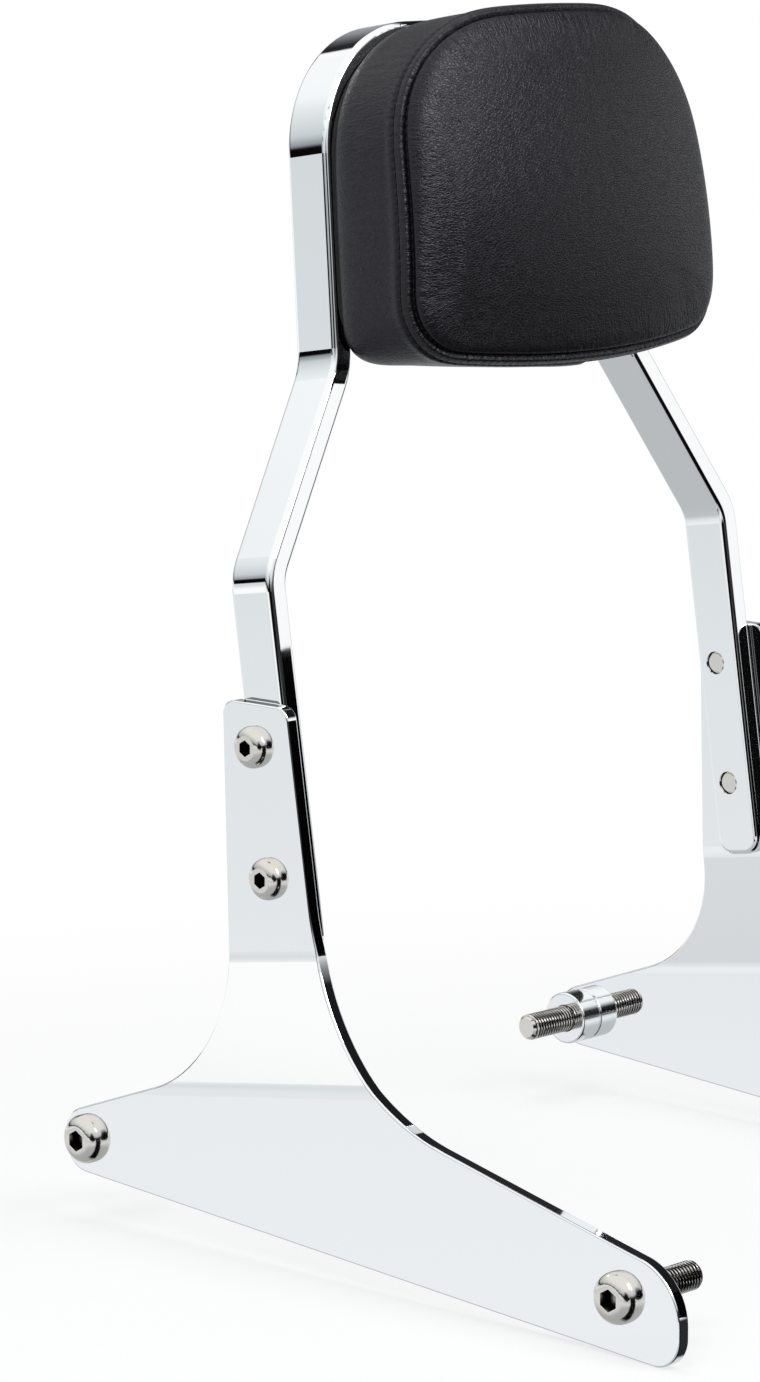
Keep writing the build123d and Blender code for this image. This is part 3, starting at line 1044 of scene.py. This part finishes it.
# The tent is known only by direction: each wall is a row of greys by height, and one wall turns
# into the next by bearing
world = bpy.data.worlds.new("white_tent")
bpy.context.scene.world = world
world.use_nodes = True
tree = world.node_tree
sky = tree.nodes["Background"]
direction = add_node(tree, "ShaderNodeTexCoord").outputs["Generated"]
parts = add_node(tree, "ShaderNodeSeparateXYZ", links={"Vector": direction})
height = add_node(
    tree, "ShaderNodeMapRange", {"From Min": -1.0, "From Max": 1.0}, {"Value": parts.outputs["Z"]}
)


def tent_wall(stops):
    """Grey of one tent wall by height: (sine of elevation, sRGB hex) from the floor up."""
    ramp = add_node(tree, "ShaderNodeValToRGB", links={"Fac": height.outputs["Result"]})
    band = ramp.color_ramp.elements
    while len(band) < len(stops):
        band.new(0.5)
    for element, (sine, code) in zip(band, stops):
        element.position = (sine + 1) / 2
        element.color = linear(code)
    return ramp.outputs["Color"]


left_wall = tent_wall(
    [
        (-1.0, "#B6B9BC"),
        (-0.5, "#BFC3C6"),
        (-0.28, "#EFF1F4"),
        (-0.235, "#EBEEF1"),
        (-0.2, "#E5E8EA"),
        (-0.16, "#E2E6E8"),
        (-0.12, "#DADEE0"),
        (-0.05, "#FFFFFF"),
        (-0.015, "#FFFFFF"),
        (0.025, "#D9DEE2"),
        (0.077, "#D6DADC"),
        (0.084, "#060607"),
        (0.16, "#08080A"),
        (0.17, "#8D9297"),
        (0.26, "#C9CFD2"),
        (0.46, "#E6EAED"),
        (0.54, "#F6F9FB"),
        (0.7, "#FFFFFF"),
    ]
)
right_wall = tent_wall(
    [
        (-1.0, "#C4C8CB"),
        (-0.3, "#E8EBEE"),
        (-0.1, "#DADEE0"),
        (0.05, "#C8CCD0"),
        (0.2, "#8C9094"),
        (0.3, "#8C9094"),
        (0.5, "#2A2A2C"),
        (0.54, "#1E1E20"),
        (0.55, "#FFFFFF"),
    ]
)
front_wall = tent_wall(
    [
        (-1.0, "#0C0C0D"),
        (0.06, "#101011"),
        (0.18, "#55565A"),
        (0.3, "#D8DADE"),
        (0.4, "#E6E8EC"),
        (0.7, "#FFFFFF"),
    ]
)
corner_wall = tent_wall(
    [
        (-1.0, "#242526"),
        (-0.09, "#2A2B2D"),
        (-0.025, "#F8FAFC"),
        (0.16, "#FFFFFF"),
        (0.25, "#F0F2F4"),
        (0.33, "#8A8C90"),
        (0.4, "#1A1B1C"),
        (0.72, "#1A1B1C"),
        (0.8, "#FFFFFF"),
    ]
)
edge_wall = tent_wall(
    [
        (-1.0, "#C4C8CB"),
        (-0.3, "#E8EBEE"),
        (-0.1, "#DADEE0"),
        (0.02, "#C8CCD0"),
        (0.09, "#A6A8AA"),
        (0.3, "#8C9094"),
        (0.45, "#2A2A2C"),
        (0.72, "#1A1B1C"),
        (0.8, "#FFFFFF"),
    ]
)


def turning(axis, begin, end, first, second):
    """The tent's first wall before, and its second wall after, a turn along one axis."""
    turned_by = add_node(
        tree,
        "ShaderNodeMapRange",
        {"From Min": begin, "From Max": end},
        {"Value": parts.outputs[axis]},
    )
    mixed = add_node(
        tree, "ShaderNodeMixRGB", links={0: turned_by.outputs["Result"], 1: first, 2: second}
    )
    return mixed.outputs["Color"]


rear_right = turning("X", 0.58, 0.66, right_wall, edge_wall)
rear = turning("X", 0.18, 0.26, left_wall, rear_right)
front_left = turning("X", -0.3, -0.42, front_wall, left_wall)
front = turning("X", 0.58, 0.66, front_left, corner_wall)
tent = turning("Y", 0.1, -0.1, rear, front)

# A dark slit between two walls draws the bars' edges; it narrows slowly upwards and fast downwards
SLIT_BEARING = (-0.73, -0.68, 0.0)
SLIT_UP = 0.22
SLIT_DOWN = -0.75
level = add_node(
    tree, "ShaderNodeVectorMath", {1: (1.0, 1.0, 0.0)}, {0: direction}, operation="MULTIPLY"
)
bearing = add_node(
    tree, "ShaderNodeVectorMath", links={0: level.outputs["Vector"]}, operation="NORMALIZE"
)
toward = add_node(
    tree,
    "ShaderNodeVectorMath",
    {1: SLIT_BEARING},
    {0: bearing.outputs["Vector"]},
    operation="DOT_PRODUCT",
)
above, below = (
    add_node(tree, "ShaderNodeMath", {1: rate}, {0: parts.outputs["Z"]}, operation="MULTIPLY")
    for rate in (SLIT_UP, SLIT_DOWN)
)
off_level = add_node(
    tree,
    "ShaderNodeMath",
    links={0: above.outputs["Value"], 1: below.outputs["Value"]},
    operation="MAXIMUM",
)
narrowed = add_node(
    tree,
    "ShaderNodeMath",
    links={0: toward.outputs["Value"], 1: off_level.outputs["Value"]},
    operation="SUBTRACT",
)
slit = add_node(
    tree,
    "ShaderNodeMapRange",
    {"From Min": 0.88, "From Max": 0.93},
    {"Value": narrowed.outputs["Value"]},
)
dark = add_node(
    tree,
    "ShaderNodeMixRGB",
    {2: linear("#0B0B0C")},
    {0: slit.outputs["Result"], 1: tent},
)
path = add_node(tree, "ShaderNodeLightPath")
mirrored = add_node(
    tree,
    "ShaderNodeMixRGB",
    {1: linear("#A8A8A8")},
    {0: path.outputs["Is Glossy Ray"], 2: dark.outputs["Color"]},
)
shown = add_node(
    tree,
    "ShaderNodeMixRGB",
    {2: linear("#FFFFFF")},
    {0: path.outputs["Is Camera Ray"], 1: mirrored.outputs["Color"]},
)
tree.links.new(shown.outputs["Color"], sky.inputs["Color"])

# Three soft disc lamps, of which the chrome shows only the front one
LAMP_AIM = Vector((0, 0.18, 0.3))
for name, lamp_at, size, power, in_chrome in (
    ("key_lamp", (-1.3, -0.5, 1.6), 1.0, 14.0, False),
    ("front_lamp", (0.2, -1.15, 1.4), 0.9, 13.0, True),
    ("top_lamp", (0.0, 0.5, 1.9), 1.2, 10.0, False),
):
    bpy.ops.object.light_add(type="AREA", location=lamp_at)
    lamp = bpy.context.object
    lamp.name = name
    lamp.data.shape = "DISK"
    lamp.data.size = size
    lamp.data.energy = power
    lamp.visible_glossy = in_chrome
    lamp.rotation_euler = (LAMP_AIM - Vector(lamp_at)).to_track_quat("-Z", "Y").to_euler()

# Camera: at the photograph's viewing angle, nearly level, from the right and in front. It has a
# long lens, and its shift only frames the part as the photograph does.
FRAME_WIDE = 760
FRAME_TALL = 1382
FOCAL = 5218.3
AXIS_X = 412.2
AXIS_Y = 674.6
AZIMUTH = -47.05
ELEVATION = 9.302
CAMERA_AT = (-1.6356, -1.2635, 0.5602)
SENSOR = 36.0
bpy.ops.object.camera_add(location=CAMERA_AT)
camera = bpy.context.object
camera.rotation_euler = (math.radians(90 - ELEVATION), 0, math.radians(AZIMUTH))
camera.data.sensor_fit = "AUTO"
camera.data.sensor_width = SENSOR
camera.data.lens = SENSOR * FOCAL / FRAME_TALL
camera.data.shift_x = -(AXIS_X - FRAME_WIDE / 2) / FRAME_TALL
camera.data.shift_y = (AXIS_Y - FRAME_TALL / 2) / FRAME_TALL
camera.data.clip_end = 50.0
bpy.context.scene.camera = camera
bpy.context.scene.view_settings.view_transform = "Standard"
